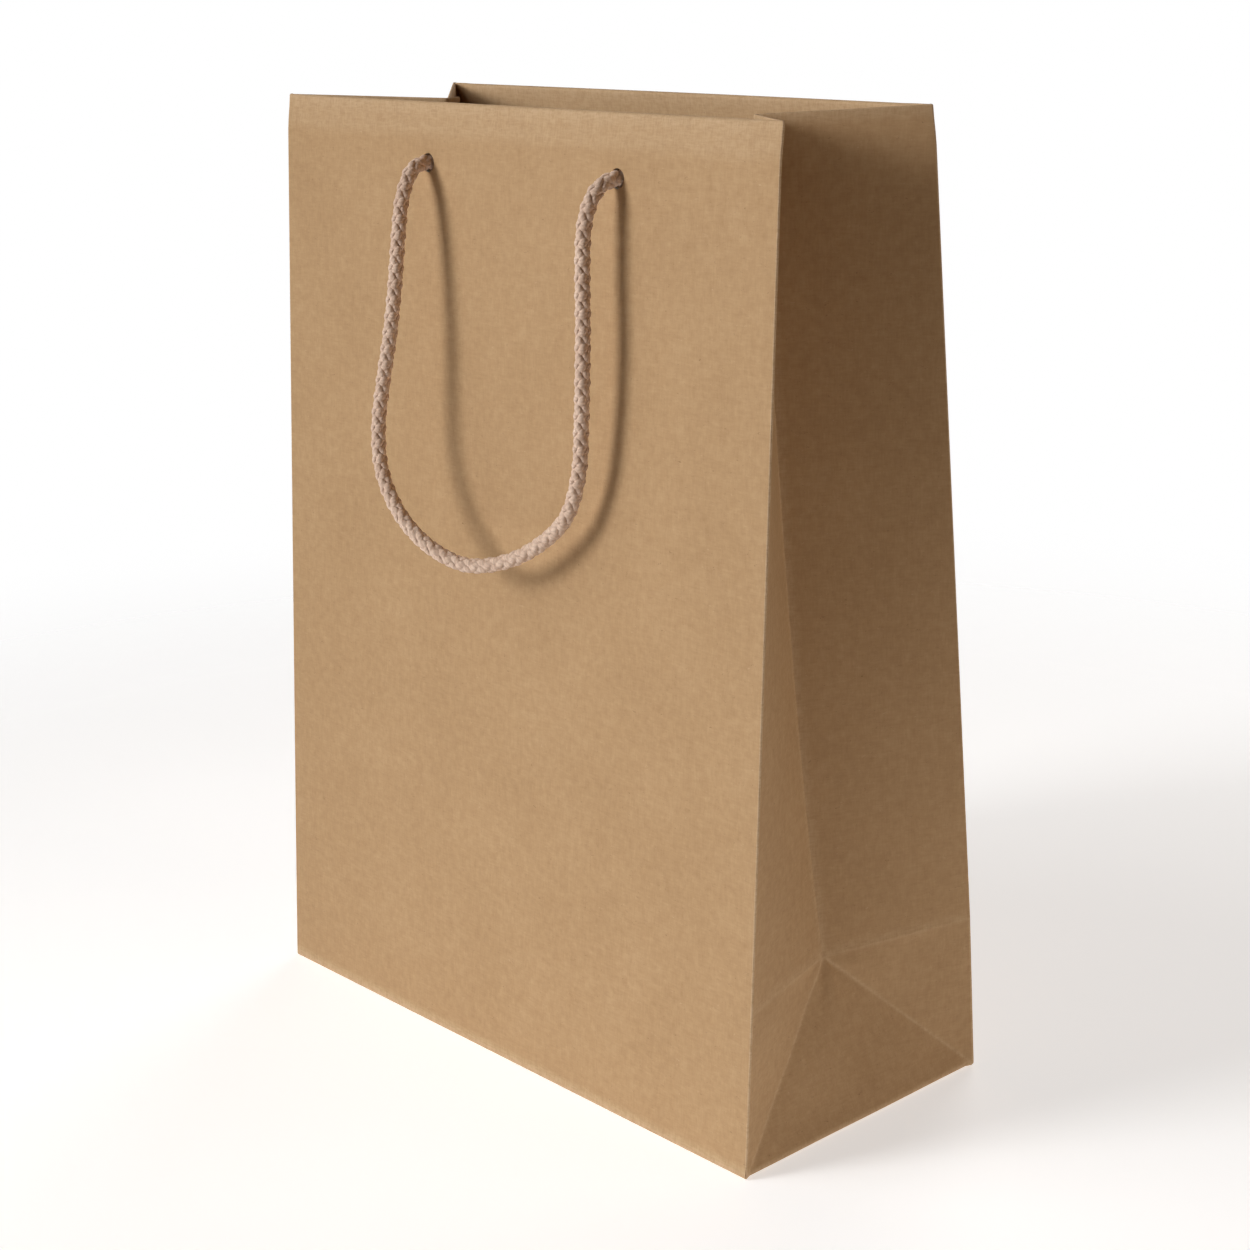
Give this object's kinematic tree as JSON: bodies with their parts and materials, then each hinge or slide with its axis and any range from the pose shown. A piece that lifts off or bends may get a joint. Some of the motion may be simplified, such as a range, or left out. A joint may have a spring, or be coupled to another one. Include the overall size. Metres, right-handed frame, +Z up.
{
  "type": "gift bag",
  "caption": "Standing kraft paper gift bag with folding side gussets, a stiffened top hem and knotted rope handles that swing on their holes.",
  "frame": {"origin": "on the floor under the middle of the base", "axes": "+Z up, the front panel faces -Y, +X along the bag's width"},
  "size_m": [0.24, 0.143, 0.3194],
  "materials": {
    "kraft": "matt natural kraft",
    "card": "matt grey-brown card",
    "board": "matt grey-brown board",
    "rope": "plaited paper-and-cotton cord"
  },
  "bodies": {
    "base": {"bottom_board": "board", "front_bottom_flap": "kraft", "back_bottom_flap": "kraft", "left_dust_flap": "kraft", "right_dust_flap": "kraft", "front_panel_foot": "kraft", "back_panel_foot": "kraft", "left_base_triangle": "kraft", "right_base_triangle": "kraft", "front_left_corner_facet": "kraft", "front_right_corner_facet": "kraft", "back_left_corner_facet": "kraft", "back_right_corner_facet": "kraft"},
    "front_wall": {"front_panel": "kraft", "front_top_hem": "kraft", "front_stiffener_card": "card", "front_left_knot": "rope", "front_right_knot": "rope"},
    "back_wall": {"back_panel": "kraft", "back_top_hem": "kraft", "back_stiffener_card": "card", "back_left_knot": "rope", "back_right_knot": "rope", "glue_seam_flap": "kraft"},
    "front_left_gusset": {"front_left_gusset_half": "kraft", "front_left_gusset_hem": "kraft"},
    "front_right_gusset": {"front_right_gusset_half": "kraft", "front_right_gusset_hem": "kraft"},
    "back_left_gusset": {"back_left_gusset_half": "kraft", "back_left_gusset_hem": "kraft"},
    "back_right_gusset": {"back_right_gusset_half": "kraft", "back_right_gusset_hem": "kraft"},
    "front_handle": {"front_rope_handle": "rope"},
    "back_handle": {"back_rope_handle": "rope"}
  },
  "joints": [
    {"name": "front_wall_lean", "type": "hinge", "parent": "base", "child": "front_wall", "pos_m": [0, -0.05165, 0.0549], "axis": [-1, 0, 0], "range_deg": [-3, 4]},
    {"name": "back_wall_lean", "type": "hinge", "parent": "base", "child": "back_wall", "pos_m": [0, 0.05165, 0.0549], "axis": [1, 0, 0], "range_deg": [-3, 4]},
    {"name": "front_left_gusset_fold", "type": "hinge", "parent": "front_wall", "child": "front_left_gusset", "pos_m": [-0.12, -0.05165, 0.0549], "axis": [-0.0038, -0.0609, -0.9981], "range_deg": [-18, 24]},
    {"name": "front_right_gusset_fold", "type": "hinge", "parent": "front_wall", "child": "front_right_gusset", "pos_m": [0.12, -0.05165, 0.0549], "axis": [-0.0038, 0.0609, 0.9981], "range_deg": [-18, 24]},
    {"name": "back_left_gusset_fold", "type": "hinge", "parent": "back_wall", "child": "back_left_gusset", "pos_m": [0.12, 0.05165, 0.0549], "axis": [0.0226, 0.0609, -0.9979], "range_deg": [-18, 24]},
    {"name": "back_right_gusset_fold", "type": "hinge", "parent": "back_wall", "child": "back_right_gusset", "pos_m": [-0.12, 0.05165, 0.0549], "axis": [0.0226, -0.0609, 0.9979], "range_deg": [-18, 24]},
    {"name": "front_handle_swing", "type": "hinge", "parent": "front_wall", "child": "front_handle", "pos_m": [0.0066, -0.04867, 0.30067], "axis": [-1, 0, 0], "range_deg": [0, 150]},
    {"name": "back_handle_swing", "type": "hinge", "parent": "back_wall", "child": "back_handle", "pos_m": [-0.0066, 0.04867, 0.30067], "axis": [1, 0, 0], "range_deg": [0, 150]}
  ],
  "couplings": [
    {"joint": "back_wall_lean", "follows": "front_wall_lean", "ratio": 1},
    {"joint": "front_left_gusset_fold", "follows": "front_wall_lean", "ratio": 6},
    {"joint": "front_right_gusset_fold", "follows": "front_wall_lean", "ratio": 6},
    {"joint": "back_left_gusset_fold", "follows": "front_wall_lean", "ratio": 6},
    {"joint": "back_right_gusset_fold", "follows": "front_wall_lean", "ratio": 6}
  ]
}
